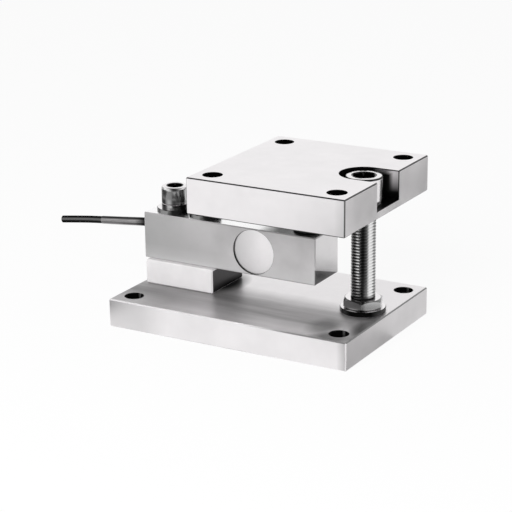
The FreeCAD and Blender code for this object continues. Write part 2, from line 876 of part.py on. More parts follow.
# Every object has to be sound before any file is written
for item in doc.Objects:
    if "Invalid" in item.State or "Error" in item.State:
        raise RuntimeError(f"{item.Label} failed: {item.State}")
for part in parts:
    if part.Shape.isNull() or not part.Shape.isValid():
        raise RuntimeError(f"{part.Label} has no sound shape")

os.makedirs("parts", exist_ok=True)
for part in parts:
    part.Shape.exportStep(f"parts/{part.Label}.step")
    box = part.Shape.BoundBox
    print(f"{part.Label:26s} solids {len(part.Shape.Solids)}  volume {part.Shape.Volume:10.1f}"
          f"  x {box.XMin:8.2f} {box.XMax:8.2f}  y {box.YMin:7.2f} {box.YMax:7.2f}"
          f"  z {box.ZMin:7.2f} {box.ZMax:7.2f}")
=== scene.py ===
import math
import bmesh
import bpy
from mathutils import Matrix, Vector


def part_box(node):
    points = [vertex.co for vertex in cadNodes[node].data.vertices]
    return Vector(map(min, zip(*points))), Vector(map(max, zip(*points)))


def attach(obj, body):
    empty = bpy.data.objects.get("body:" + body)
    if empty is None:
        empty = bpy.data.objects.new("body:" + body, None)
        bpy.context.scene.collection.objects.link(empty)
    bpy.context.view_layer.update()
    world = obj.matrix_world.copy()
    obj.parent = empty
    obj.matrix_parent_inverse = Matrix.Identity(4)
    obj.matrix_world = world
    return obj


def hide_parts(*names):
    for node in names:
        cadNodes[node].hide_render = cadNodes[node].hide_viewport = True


# Weighing module: finishes, a cut thread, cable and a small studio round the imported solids
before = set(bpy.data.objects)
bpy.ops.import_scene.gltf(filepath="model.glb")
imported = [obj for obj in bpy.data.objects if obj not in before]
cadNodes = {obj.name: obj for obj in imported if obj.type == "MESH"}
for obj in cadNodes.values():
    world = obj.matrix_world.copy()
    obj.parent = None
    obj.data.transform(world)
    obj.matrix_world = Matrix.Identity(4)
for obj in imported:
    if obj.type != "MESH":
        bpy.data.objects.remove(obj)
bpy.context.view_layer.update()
mm = 0.001
scene = bpy.context.scene
print("frame loaded", len(cadNodes), "nodes")


# Camera, solved from the corners of the two plates
cameraLook = {
    "azimuth": 29.85,               # degrees, from the front towards the right
    "elevation": 18.0,
    "roll": -0.61,
    "distance": 1178.0 * mm,
    "target": (-9.77, 0.0, 43.29),  # mm
    "lens": 125.14,
    "sensor": 36.0,
}


def makeCamera(look):
    data = bpy.data.cameras.new("studioCamera")
    data.sensor_width = look["sensor"]
    data.lens = look["lens"]
    azimuth, elevation = math.radians(look["azimuth"]), math.radians(look["elevation"])
    level = math.cos(elevation)
    back = Vector((math.sin(azimuth) * level, -math.cos(azimuth) * level, math.sin(elevation)))
    eye = Vector(look["target"]) * mm + back * look["distance"]
    turn = back.to_track_quat("Z", "Y").to_matrix().to_4x4()
    roll = Matrix.Rotation(math.radians(look["roll"]), 4, "Z")
    camera = bpy.data.objects.new("studioCamera", data)
    camera.matrix_world = Matrix.Translation(eye) @ turn @ roll
    scene.collection.objects.link(camera)
    scene.camera = camera


makeCamera(cameraLook)
print("camera set")


# Mesh helpers: rings are grown one from another, so each turned form is a chain of extrusions
weldReach = 0.004 * mm
sharpAngle = 32.0               # degrees between faces, from which an edge stays sharp


def roundRing(angle, radius):
    return radius


def hexRing(angle, apothem):
    return apothem / math.cos(angle % math.radians(60) - math.radians(30))


def startDisc(shape, place, radius, count):
    # makes a round face and gives its ring of edges
    made = bmesh.ops.create_circle(shape, segments=count, radius=radius, matrix=place)
    ring = list({edge for vert in made["verts"] for edge in vert.link_edges})
    bmesh.ops.edgenet_fill(shape, edges=ring)
    return ring


def pullRing(shape, ring):
    # extrudes a ring of edges and gives the new verts and the new ring
    made = bmesh.ops.extrude_edge_only(shape, edges=ring)["geom"]
    verts = [item for item in made if isinstance(item, bmesh.types.BMVert)]
    return verts, [item for item in made if isinstance(item, bmesh.types.BMEdge) and item.is_boundary]


def growRing(shape, ring, centre, size, height, form=roundRing):
    verts, ring = pullRing(shape, ring)
    for vert in verts:
        angle = math.atan2(vert.co.y - centre.y, vert.co.x - centre.x)
        reach = form(angle, size)
        vert.co = (centre.x + math.cos(angle) * reach, centre.y + math.sin(angle) * reach, height)
    return ring


def closeRing(shape, ring, centre, height):
    verts, ring = pullRing(shape, ring)
    bmesh.ops.pointmerge(shape, verts=verts, merge_co=(centre.x, centre.y, height))


def finishMesh(shape, name):
    bmesh.ops.remove_doubles(shape, verts=shape.verts, dist=weldReach)
    bmesh.ops.recalc_face_normals(shape, faces=shape.faces)
    mesh = bpy.data.meshes.new(name)
    shape.to_mesh(mesh)
    shape.free()
    mesh.shade_smooth()
    mesh.set_sharp_from_angle(angle=math.radians(sharpAngle))
    return mesh


def addPiece(name, shape, slotName, *replaced):
    piece = bpy.data.objects.new(name, finishMesh(shape, name))
    scene.collection.objects.link(piece)
    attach(piece, "root")
    if replaced:
        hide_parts(*replaced)
    return piece


def joinShapes(shape, other):
    part = bpy.data.meshes.new("part")
    other.to_mesh(part)
    other.free()
    shape.from_mesh(part)
    bpy.data.meshes.remove(part)


# Signal cable: leaves the gland level and droops to its cut end, where four cores show
cable = {
    "diameter": 5.0 * mm,
    "side": 9.8,                    # mm, the exit's distance behind the middle of the beam
    "route": [(-90.0, 51.5), (-101.0, 51.5), (-114.5, 50.0), (-131.0, 48.3),
              (-147.5, 46.75), (-161.5, 44.9), (-172.6, 43.35)],    # mm, X and Z
    "curveSteps": 10,
    "segments": 32,
    "wall": 0.75 * mm,
    "recess": 0.5 * mm,
    "coreDiameter": 1.3 * mm,
    "coreReach": 0.85 * mm,
    "coreSpread": 0.55,             # offset of a core from the axis, as a share of its diameter
    "coreSegments": 16,
    "fitted": ["strain_relief_sleeve", "gland_nut", "gland_body", "gland_seal"],
}


def cablePath(size):
    # points along a smooth curve through the route
    curve = bpy.data.curves.new("cableLine", "CURVE")
    curve.dimensions = "3D"
    curve.resolution_u = size["curveSteps"]
    spline = curve.splines.new("NURBS")
    spline.points.add(len(size["route"]) - 1)
    for point, (x, z) in zip(spline.points, size["route"]):
        point.co = (x * mm, size["side"] * mm, z * mm, 1.0)
    spline.order_u = 3
    spline.use_endpoint_u = True
    line = bpy.data.objects.new("cableLine", curve)
    scene.collection.objects.link(line)
    drawn = bpy.data.meshes.new_from_object(line.evaluated_get(bpy.context.evaluated_depsgraph_get()))
    path = [vert.co.copy() for vert in drawn.vertices]
    bpy.data.objects.remove(line)
    bpy.data.curves.remove(curve)
    bpy.data.meshes.remove(drawn)
    return path


def makeCable(size):
    path = cablePath(size)
    steps = [after - before for before, after in zip(path, path[1:])]
    slopes = [math.atan2(step.z, -step.x) for step in steps]
    shape = bmesh.new()
    facing = Matrix.Rotation(math.radians(-90), 4, "Y")
    start = Matrix.Translation(path[0]) @ facing
    ring = startDisc(shape, start, size["diameter"] / 2, size["segments"])
    leaning = slopes[0]
    for number, step in enumerate(steps):
        verts, ring = pullRing(shape, ring)
        lean = (slopes[number] + slopes[min(number + 1, len(slopes) - 1)]) / 2
        bmesh.ops.translate(shape, vec=step, verts=verts)
        turn = Matrix.Rotation(lean - leaning, 3, "Y")
        bmesh.ops.rotate(shape, cent=path[number + 1], matrix=turn, verts=verts)
        leaning = lean
    # the cut end: jacket wall, then a recess that the cores stand out of
    end, ahead = path[-1], steps[-1].normalized()
    for inset, sink in ((1.0 - 2 * size["wall"] / size["diameter"], 0.0), (1.0, size["recess"])):
        verts, ring = pullRing(shape, ring)
        bmesh.ops.translate(shape, vec=-end, verts=verts)
        bmesh.ops.scale(shape, vec=(inset, inset, inset), verts=verts)
        bmesh.ops.translate(shape, vec=end - ahead * sink, verts=verts)
    bmesh.ops.edgenet_fill(shape, edges=ring)
    jacket = addPiece("signalCable", shape, "cable_jacket", "signal_cable")

    cores = bmesh.new()
    turn = (-ahead).to_track_quat("Z", "Y").to_matrix().to_4x4()
    for across in (-1, 1):
        for rise in (-1, 1):
            offset = Vector((0, across, rise)) * size["coreDiameter"] * size["coreSpread"]
            middle = end + offset + ahead * (size["coreReach"] / 2 - size["recess"])
            bmesh.ops.create_cone(cores, cap_ends=True, segments=size["coreSegments"],
                                  radius1=size["coreDiameter"] / 2, radius2=size["coreDiameter"] / 2,
                                  depth=size["coreReach"], matrix=Matrix.Translation(middle) @ turn)
    ends = addPiece("cableCores", cores, "core_sheath")
    return jacket, ends


signalCable, cableCores = makeCable(cable)
print("cable laid")


def addThread(shape, centre, low, high, thread):
    # the thread's outline climbs one pitch in each turn round the shank, and its ends are cut square
    pitch, crest, root, rootShare = (thread[key] for key in ("pitch", "crest", "root", "rootShare"))
    flank = (1.0 - thread["crestShare"] - rootShare) / 2
    outline = [(0.0, root), (rootShare, root), (rootShare + flank, crest), (1.0 - flank, crest)]
    start = low - thread["spareTurns"] * pitch
    coil = bmesh.new()
    verts = []
    for turn in range(math.ceil((high - low) / pitch + 2 * thread["spareTurns"])):
        for share, radius in outline:
            verts.append(coil.verts.new((centre.x + radius, centre.y, start + (turn + share) * pitch)))
    edges = [coil.edges.new(pair) for pair in zip(verts, verts[1:])]
    bmesh.ops.spin(coil, geom=verts + edges, cent=(centre.x, centre.y, 0), axis=(0, 0, 1),
                   dvec=(0, 0, pitch / thread["steps"]), angle=math.tau, steps=thread["steps"],
                   use_merge=False, use_duplicate=False)
    bmesh.ops.remove_doubles(coil, verts=coil.verts, dist=thread["weld"])
    for height, upper in ((low, False), (high, True)):
        everything = coil.verts[:] + coil.edges[:] + coil.faces[:]
        bmesh.ops.bisect_plane(coil, geom=everything, dist=thread["cut"], plane_co=(0, 0, height),
                               plane_no=(0, 0, 1), clear_inner=not upper, clear_outer=upper)
    rims = [edge for edge in coil.edges if edge.is_boundary]
    bmesh.ops.holes_fill(coil, edges=rims, sides=0)
    joinShapes(shape, coil)


# Socket head: side with or without a knurl, rounded-off rim, face, funnel into the hexagon, drill point.
# In widths of the rim: the knurl's distance from the face, and each rim ring's inset and drop
knurlEnd = 1.8
rimSteps = [(0.0, 1.3), (0.0, 1.0), (0.3, 0.3), (1.0, 0.0)]


def addHead(shape, centre, radius, low, high, size):
    mouth, apothem = size["socketMouth"] / 2, size["socketFlats"] / 2
    rim, bottom = size["headBreak"], high - size["socketDepth"]
    ridge = math.tau / size["segments"]

    def knurlRing(angle, reach):
        return reach - size["knurl"] * (round(angle / ridge) % 2)

    start = Matrix.Translation((centre.x, centre.y, low))
    ring = startDisc(shape, start, radius - rim / 2, size["segments"])
    ring = growRing(shape, ring, centre, radius, low + rim / 2)
    ring = growRing(shape, ring, centre, radius, low + rim, knurlRing)
    ring = growRing(shape, ring, centre, radius, high - knurlEnd * rim, knurlRing)
    for inset, drop in rimSteps:
        ring = growRing(shape, ring, centre, radius - inset * rim, high - drop * rim)
    ring = growRing(shape, ring, centre, mouth, high)
    ring = growRing(shape, ring, centre, apothem, high - (mouth - apothem) / 2, hexRing)
    ring = growRing(shape, ring, centre, apothem, bottom, hexRing)
    closeRing(shape, ring, centre, bottom - apothem / 3)


# Hold-down bolt: plain head in the slot, thread cut up to the head
holdDownBolt = {
    "headHeight": 16.0 * mm,
    "headBreak": 1.2 * mm,
    "knurl": 0.0,
    "socketFlats": 14.0 * mm,
    "socketMouth": 16.6 * mm,
    "socketDepth": 8.0 * mm,
    "segments": 120,
    "thread": {"pitch": 2.0 * mm, "crest": 7.95 * mm, "root": 6.95 * mm, "crestShare": 0.32,
               "rootShare": 0.24, "steps": 48, "weld": 0.01 * mm, "cut": 0.001 * mm,
               "spareTurns": 1.5},  # made beyond each end and cut off
}


def makeHoldDownBolt(size):
    low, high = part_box("hold_down_bolt")
    centre = (low + high) / 2
    underHead = high.z - size["headHeight"]
    shape = bmesh.new()
    addHead(shape, centre, (high.x - low.x) / 2, underHead, high.z, size)
    addThread(shape, centre, low.z, underHead, size["thread"])
    return addPiece("holdDownBolt", shape, "fastener_steel", "hold_down_bolt")


# Mounting screws: knurled heads, plain shanks that the beam hides
mountingScrew = {
    "headDiameter": 18.0 * mm,
    "headHeight": 12.0 * mm,
    "headBreak": 1.2 * mm,
    "knurl": 0.22 * mm,
    "socketFlats": 10.0 * mm,
    "socketMouth": 11.8 * mm,
    "socketDepth": 6.0 * mm,
    "segments": 120,
    "shank": 12.0 * mm,
    "tipBreak": 1.5 * mm,
}


def makeMountingScrews(size):
    low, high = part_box("mounting_screws")
    radius, shank = size["headDiameter"] / 2, size["shank"] / 2
    underHead = high.z - size["headHeight"]
    shape = bmesh.new()
    for x in (low.x + radius, high.x - radius):
        centre = Vector((x, (low.y + high.y) / 2, 0))
        addHead(shape, centre, radius, underHead, high.z, size)
        start = Matrix.Translation((x, centre.y, low.z))
        ring = startDisc(shape, start, shank - size["tipBreak"], size["segments"])
        ring = growRing(shape, ring, centre, shank, low.z + size["tipBreak"])
        ring = growRing(shape, ring, centre, shank, underHead)
        bmesh.ops.edgenet_fill(shape, edges=ring)
    return addPiece("mountingScrews", shape, "fastener_steel", "mounting_screws")


holdDown = makeHoldDownBolt(holdDownBolt)
screws = makeMountingScrews(mountingScrew)
print("bolt threaded, screws knurled")


# Shader helpers
steelTint = (1.0, 0.978, 0.988)
shadeSpan = (0.3, 0.7)          # part of the noise's range that leads from one tone to the other
flatFacing = 0.8                # part of a normal along an axis, from which a face looks that way


def addNode(tree, kind, **settings):
    node = tree.nodes.new(kind)
    for key, value in settings.items():
        setattr(node, key, value)
    return node


def setInputs(node, **values):
    for key, value in values.items():
        node.inputs[key.replace("_", " ")].default_value = value
    return node


def feed(tree, socket, value):
    if isinstance(value, bpy.types.NodeSocket):
        tree.links.new(value, socket)
    else:
        socket.default_value = value


def mathNode(tree, operation, *values):
    node = addNode(tree, "ShaderNodeMath", operation=operation)
    for socket, value in zip(node.inputs, values):
        feed(tree, socket, value)
    return node.outputs[0]


def times(tree, first, second):
    return mathNode(tree, "MULTIPLY", first, second)


def vectorNode(tree, operation, *values):
    node = addNode(tree, "ShaderNodeVectorMath", operation=operation)
    for socket, value in zip(node.inputs, values):
        feed(tree, socket, value)
    return node.outputs["Value"] if operation == "LENGTH" else node.outputs["Vector"]


def splitVector(tree, vector):
    node = addNode(tree, "ShaderNodeSeparateXYZ")
    feed(tree, node.inputs[0], vector)
    return node.outputs


def rangeNode(tree, value, low, high, start=0.0, end=1.0):
    node = addNode(tree, "ShaderNodeMapRange")
    feed(tree, node.inputs["Value"], value)
    setInputs(node, From_Min=start, From_Max=end)
    feed(tree, node.inputs["To Min"], low)
    feed(tree, node.inputs["To Max"], high)
    return node.outputs["Result"]


def rampUp(tree, value, ends):
    return rangeNode(tree, value, 0.0, 1.0, *ends)


def rampProduct(tree, start, *ramps):
    for place, (first, last, low, high) in ramps:
        start = times(tree, start, rangeNode(tree, place, low, high, first, last))
    return start


def mixColour(tree, factor, first, second):
    node = addNode(tree, "ShaderNodeMix", data_type="RGBA")
    feed(tree, node.inputs[0], factor)
    feed(tree, node.inputs[6], first)
    feed(tree, node.inputs[7], second)
    return node.outputs[2]


def grey(value):
    return (value, value, value, 1.0)


def steel(value):
    # a grey with a trace of warmth
    return (*(part * value for part in steelTint), 1.0)


def ringTone(tree, turn, stops):
    # tone by azimuth, given in degrees from +X; a turn of 0 to 1 starts at -180
    ramp = addNode(tree, "ShaderNodeValToRGB")
    tree.links.new(turn, ramp.inputs[0])
    marks = ramp.color_ramp.elements
    while len(marks) < len(stops):
        marks.new(0.5)
    for mark, (azimuth, tone) in zip(marks, stops):
        mark.position = azimuth / 360 + 0.5
        mark.color = grey(tone)
    return ramp.outputs["Color"]


def newGroup(name, inputs, outputs):
    group = bpy.data.node_groups.new(name, "ShaderNodeTree")
    for socketName, kind in inputs:
        group.interface.new_socket(name=socketName, in_out="INPUT", socket_type="NodeSocket" + kind)
    for socketName in outputs:
        group.interface.new_socket(name=socketName, in_out="OUTPUT", socket_type="NodeSocketFloat")
    return group, group.nodes.new("NodeGroupInput"), group.nodes.new("NodeGroupOutput")


# Ground finish: fine streaks along the grinding direction over wide cloudy patches
def makeGroundFinish():
    group, given, result = newGroup("groundFinish", [("Coordinates", "Vector"), ("Stretch", "Vector"),
                                                     ("Patches", "Float")], ["Streak", "Cloud"])
    drawn = vectorNode(group, "MULTIPLY", given.outputs["Coordinates"], given.outputs["Stretch"])
    streak = setInputs(addNode(group, "ShaderNodeTexNoise"), Scale=1.0, Detail=4.0, Roughness=0.6)
    group.links.new(drawn, streak.inputs["Vector"])
    cloud = setInputs(addNode(group, "ShaderNodeTexNoise"), Detail=3.0, Roughness=0.55)
    group.links.new(given.outputs["Coordinates"], cloud.inputs["Vector"])
    group.links.new(given.outputs["Patches"], cloud.inputs["Scale"])
    group.links.new(streak.outputs["Fac"], result.inputs["Streak"])
    group.links.new(cloud.outputs["Fac"], result.inputs["Cloud"])
    return group


# Bore reach: distance from the nearest of the upright axes in a rectangle, and the turn round it
def makeBoreReach():
    group, given, result = newGroup("boreReach", [("Coordinates", "Vector"), ("Centre", "Vector"),
                                                  ("Spacing", "Vector")], ["Reach", "Turn"])
    offset = vectorNode(group, "SUBTRACT", given.outputs["Coordinates"], given.outputs["Centre"])
    axis = vectorNode(group, "MULTIPLY", vectorNode(group, "SIGN", offset), given.outputs["Spacing"])
    away = vectorNode(group, "MULTIPLY", vectorNode(group, "SUBTRACT", offset, axis), (1.0, 1.0, 0.0))
    turn = addNode(group, "ShaderNodeTexGradient", gradient_type="RADIAL")
    group.links.new(away, turn.inputs["Vector"])
    group.links.new(turn.outputs["Fac"], result.inputs["Turn"])
    group.links.new(vectorNode(group, "LENGTH", away), result.inputs["Reach"])
    return group


# Painted slot shade: 1 deep inside a round-ended slot, less towards its open end and its upper edge
slotLight = {"mouth": (0.56, 0.74), "strip": (-0.1, 0.12),          # shares of the slot's length
             "mouthRise": (0.25, 0.9), "stripRise": (0.80, 0.90)}   # and of its depth, from the floor up


def makeSlotShade(light):
    group, given, result = newGroup("slotShade", [("Coordinates", "Vector"), ("Centre", "Vector"),
                                                  ("Radius", "Float"), ("Length", "Float"),
                                                  ("Depth", "Float"), ("Line", "Float")], ["Shade"])
    offset = vectorNode(group, "SUBTRACT", given.outputs["Coordinates"], given.outputs["Centre"])
    along, across, rise = splitVector(group, offset)
    bend = mathNode(group, "MINIMUM", along, 0.0)
    square = mathNode(group, "ADD", times(group, bend, bend), times(group, across, across))
    reach = mathNode(group, "SQRT", square)
    inside = mathNode(group, "LESS_THAN", reach, given.outputs["Radius"])
    above = mathNode(group, "GREATER_THAN", rise, times(group, given.outputs["Depth"], -1.0))
    opening = mathNode(group, "DIVIDE", along, given.outputs["Length"])
    lifted = mathNode(group, "DIVIDE", mathNode(group, "ADD", rise, given.outputs["Depth"]),
                      given.outputs["Depth"])
    mouth = times(group, rampUp(group, opening, light["mouth"]), rampUp(group, lifted, light["mouthRise"]))
    strip = times(group, rampUp(group, opening, light["strip"]), rampUp(group, lifted, light["stripRise"]))
    shade = mathNode(group, "SUBTRACT", 1.0, mathNode(group, "MAXIMUM", mouth, strip))
    # a painted dark line along the two outer edges of the walls
    upper = mathNode(group, "GREATER_THAN", rise, times(group, given.outputs["Line"], -1.0))
    outer = mathNode(group, "GREATER_THAN", along,
                     mathNode(group, "SUBTRACT", given.outputs["Length"], given.outputs["Line"]))
    line = mathNode(group, "MAXIMUM", upper, outer)
    walls = times(group, inside, above)
    group.links.new(times(group, walls, mathNode(group, "MAXIMUM", shade, line)), result.inputs["Shade"])
    return group


groundFinish = makeGroundFinish()
boreReach = makeBoreReach()
slotShade = makeSlotShade(slotLight)


def newMaterial(name, **values):
    material = bpy.data.materials.new(name)
    material.use_nodes = True
    shader = material.node_tree.nodes["Principled BSDF"]
    setInputs(shader, **values)
    return material, material.node_tree, shader


def coordinates(tree, kind="Object"):
    node = tree.nodes.get("Texture Coordinate") or addNode(tree, "ShaderNodeTexCoord")
    return node.outputs[kind]


def placeOf(tree, axis):
    return splitVector(tree, coordinates(tree))[axis]


def facingOf(tree, axis):
    return splitVector(tree, coordinates(tree, "Normal"))[axis]


def heightOf(tree):
    return placeOf(tree, 2)


def riseOf(tree):
    return facingOf(tree, 2)


def upperFaces(tree):
    return mathNode(tree, "GREATER_THAN", riseOf(tree), flatFacing)


def useGroup(tree, group, **values):
    node = addNode(tree, "ShaderNodeGroup", node_tree=group)
    tree.links.new(coordinates(tree), node.inputs["Coordinates"])
    return setInputs(node, **values).outputs


def addBump(tree, shader, height, distance):
    bump = setInputs(addNode(tree, "ShaderNodeBump"), Strength=1.0, Distance=distance)
    feed(tree, bump.inputs["Height"], height)
    tree.links.new(bump.outputs["Normal"], shader.inputs["Normal"])


# Metals: each finish is a pair of tones, a pair of roughnesses and the depth of its marks
def finishSockets(tree, finish):
    marks = useGroup(tree, groundFinish, Stretch=finish["stretch"], Patches=finish["patches"])
    blend = mathNode(tree, "MULTIPLY_ADD", marks["Streak"], finish["streakShare"], marks["Cloud"])
    low, high = finish["tones"]
    shade = marks["Streak"] if finish.get("streaky") else marks["Cloud"]
    shade = rampUp(tree, shade, shadeSpan)
    colour = mixColour(tree, shade, steel(low), steel(high))
    return colour, rangeNode(tree, blend, *finish["roughness"]), blend


def makeMetal(name, finish, *marks, patches=()):
    material, tree, shader = newMaterial(name)
    colour, roughness, height = finishSockets(tree, finish)
    metallic = finish["metallic"]
    # a patch is a part of the surface with a finish of its own, a mark changes the colour alone
    for makeMask, second in patches:
        mask = makeMask(tree, second)
        patchColour, patchRoughness, _ = finishSockets(tree, second)
        colour = mixColour(tree, mask, colour, patchColour)
        roughness = rangeNode(tree, mask, roughness, patchRoughness)
        metallic = rangeNode(tree, mask, metallic, second["metallic"])
    for makeMark, size in marks:
        mask, tone = makeMark(tree, size)
        colour = mixColour(tree, mask, colour, tone)
    for socketName, value in (("Base Color", colour), ("Roughness", roughness), ("Metallic", metallic)):
        feed(tree, shader.inputs[socketName], value)
    addBump(tree, shader, height, finish["depth"])
    return material


def rightMask(tree, finish):
    return mathNode(tree, "GREATER_THAN", facingOf(tree, 0), finish["facing"])


def flankMask(tree, finish):
    # the front and the rear
    facing = mathNode(tree, "ABSOLUTE", facingOf(tree, 1))
    return mathNode(tree, "GREATER_THAN", facing, finish["facing"])


groundPlate = {"metallic": 1.0, "tones": (0.86, 0.99), "roughness": (0.20, 0.38), "patches": 28.0,
               "stretch": (60.0, 2200.0, 2200.0), "streakShare": 0.5, "depth": 0.004 * mm}
groundBase = dict(groundPlate, tones=(0.88, 1.0), roughness=(0.28, 0.44))
blastedFace = dict(groundPlate, metallic=0.25, tones=(0.66, 0.76), roughness=(0.45, 0.65), patches=50.0,
                   stretch=(900.0, 900.0, 900.0), depth=0.006 * mm)
# ground end of the spacer, its tone painted dark as the shade on its right side
groundEnd = dict(groundPlate, tones=(0.11, 0.15), roughness=(0.12, 0.26), facing=flatFacing)
groundBeam = dict(groundPlate, tones=(0.65, 0.75), roughness=(0.08, 0.22), patches=40.0,
                  stretch=(1800.0, 160.0, 1800.0), depth=0.003 * mm)
satinBeam = dict(groundPlate, metallic=0.6, tones=(0.46, 0.60), roughness=(0.34, 0.52), patches=40.0,
                 stretch=(160.0, 1800.0, 1800.0), streakShare=0.6, depth=0.006 * mm, facing=0.6)
turnedCover = dict(groundPlate, tones=(0.90, 1.0), roughness=(0.22, 0.40), patches=60.0,
                   stretch=(300.0, 1200.0, 1200.0), streakShare=0.4)
platedScrew = dict(groundPlate, tones=(0.80, 0.88), roughness=(0.05, 0.20), patches=120.0,
                   stretch=(700.0, 700.0, 700.0), streakShare=0.4, depth=0.003 * mm)
hardenedPin = dict(platedScrew, tones=(0.28, 0.34), roughness=(0.15, 0.32), stretch=(900.0, 900.0, 300.0))
nickelGland = dict(platedScrew, tones=(0.55, 0.62), roughness=(0.14, 0.30))
polishedSleeve = dict(platedScrew, tones=(0.34, 0.42), roughness=(0.06, 0.14),
                      stretch=(300.0, 900.0, 900.0), patches=90.0)

# Painted shade inside the bores and sockets, and a painted glint at the back of the anchor holes
boltAxis = {"centre": (69.3 * mm, 0.0, 0.0), "spacing": (0.0, 0.0, 0.0)}
screwAxes = {"centre": (-59.3 * mm, 0.0, 0.0), "spacing": (12.7 * mm, 0.0, 0.0)}
anchorBores = {"centre": (0.0, 0.0, 0.0), "spacing": (76.0 * mm, 47.0 * mm, 0.0), "radius": 6.55 * mm,
               "floor": -1.0 * mm,
               "ring": [(-180, 0.2), (-160, 0.03), (76, 0.03), (84, 1.0), (90, 1.0), (98, 0.03),
                        (160, 0.03), (180, 0.2)]}
tankBores = dict(anchorBores, centre=(30.3 * mm, 0.0, 0.0), spacing=(44.0 * mm, 47.0 * mm, 0.0),
                 ring=[(-180, 0.2), (-160, 0.03), (160, 0.03), (180, 0.2)])
boltSocket = dict(boltAxis, radius=8.25 * mm, floor=99.0 * mm, ring=[(-180, 0.03), (180, 0.03)])
screwSockets = dict(screwAxes, radius=5.88 * mm, floor=74.0 * mm, ring=boltSocket["ring"])


def around(tree, size):
    return useGroup(tree, boreReach, Centre=size["centre"], Spacing=size["spacing"])


def boreShadeMark(tree, bore):
    place = around(tree, bore)
    inside = mathNode(tree, "LESS_THAN", place["Reach"], bore["radius"])
    above = mathNode(tree, "GREATER_THAN", heightOf(tree), bore["floor"])
    return times(tree, inside, above), ringTone(tree, place["Turn"], bore["ring"])


# Sides of the screw heads, the nut and the washers: painted reflections and highlights as rings of tones
# by azimuth, and painted shade at a head's foot. Above it a head's side and its rim have rings of tones of
# their own
screwSides = {
    **screwAxes, "radius": 8.6 * mm,
    "upright": 0.9,                 # rise of the normal up to which a face counts as a side
    "foot": [(-180, 0.05), (-122, 0.01), (-110, 0.02), (-96, 0.28), (-86, 0.37), (-78, 0.27), (-70, 0.08),
             (-62, 0.04), (-34, 0.14), (-18, 0.9), (0, 0.5), (60, 0.05), (180, 0.05)],
    "above": [((75.0 * mm, 76.6 * mm),
               [(-180, 0.2), (-150, 0.12), (-120, 0.15), (-104, 0.27), (-82, 0.22), (-72, 0.18),
                (-56, 0.35), (-38, 0.24), (-28, 0.8), (-18, 1.0), (-2, 0.35), (60, 0.2), (180, 0.2)]),
              ((81.4 * mm, 82.2 * mm),
               [(-180, 0.3), (-118, 0.35), (-106, 1.0), (-90, 0.75), (-80, 0.55), (-72, 0.2), (-66, 0.06),
                (-54, 0.06), (-44, 0.18), (-30, 0.6), (-20, 1.0), (-6, 0.45), (60, 0.3), (180, 0.3)])],
}
springSides = dict(screwSides, radius=7.0 * mm, above=[],
                   foot=[(-180, 0.12), (-150, 0.02), (-116, 0.01), (-104, 0.06), (-97, 0.14), (-92, 0.38),
                         (-78, 0.46), (-70, 0.25), (-60, 0.06), (60, 0.06), (180, 0.12)])
washerSides = dict(springSides, foot=[(-180, 0.12), (-150, 0.04), (-118, 0.05), (-106, 0.28), (-84, 0.28),
                                      (-68, 0.03), (-20, 0.03), (60, 0.08), (180, 0.12)])
boltWasherSides = dict(washerSides, **boltAxis)
boltWasherSides["foot"] = [(-180, 0.07), (-112, 0.05), (-98, 0.01), (-44, 0.01), (-20, 0.07), (180, 0.07)]
nutSides = dict(boltWasherSides, radius=9.0 * mm)
nutSides["foot"] = [(-180, 0.35), (-120, 0.28), (-64, 0.28), (-56, 0.5), (0, 0.5), (40, 0.35), (180, 0.35)]


def sideReflectionMark(tree, side):
    place = around(tree, side)
    tone = ringTone(tree, place["Turn"], side["foot"])
    for ramp, ring in side["above"]:
        climb = rampUp(tree, heightOf(tree), ramp)
        tone = mixColour(tree, climb, tone, ringTone(tree, place["Turn"], ring))
    outside = mathNode(tree, "GREATER_THAN", place["Reach"], side["radius"])
    upright = mathNode(tree, "COMPARE", riseOf(tree), 0.0, side["upright"])
    return times(tree, outside, upright), tone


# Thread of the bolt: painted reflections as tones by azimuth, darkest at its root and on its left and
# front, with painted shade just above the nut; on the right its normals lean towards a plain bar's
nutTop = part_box("hold_down_nut")[1].z
boltGrooves = {
    **boltAxis, "top": 92.5 * mm,
    "climb": (6.95 * mm, 7.9 * mm),     # radii of root and crest
    "foot": (nutTop + 0.5 * mm, nutTop + 3.0 * mm),
    "footTone": 0.03,
    "rootRing": [(-180, 0.25), (-150, 0.12), (-102, 0.12), (-94, 0.15), (-84, 0.15), (-72, 0.02),
                 (-62, 0.02), (-54, 0.12), (-46, 0.3), (-34, 0.7), (-14, 0.7), (-4, 0.25), (60, 0.25),
                 (180, 0.25)],
    "crestRing": [(-180, 0.5), (-150, 0.24), (-102, 0.24), (-94, 0.75), (-84, 0.75), (-72, 0.03),
                  (-62, 0.03), (-54, 0.16), (-46, 0.4), (-34, 0.85), (-14, 0.85), (-4, 0.5), (60, 0.5),
                  (180, 0.5)],
    "fillRing": [(-180, 0.0), (-82, 0.0), (-72, 0.8), (-2, 0.8), (12, 0.3), (60, 0.0), (180, 0.0)],
}


def grooveReflectionMark(tree, groove):
    place = around(tree, groove)
    climb = rampUp(tree, place["Reach"], groove["climb"])
    tone = mixColour(tree, climb, ringTone(tree, place["Turn"], groove["rootRing"]),
                     ringTone(tree, place["Turn"], groove["crestRing"]))
    clear = rampUp(tree, heightOf(tree), groove["foot"])
    tone = mixColour(tree, clear, grey(groove["footTone"]), tone)
    return mathNode(tree, "LESS_THAN", heightOf(tree), groove["top"]), tone


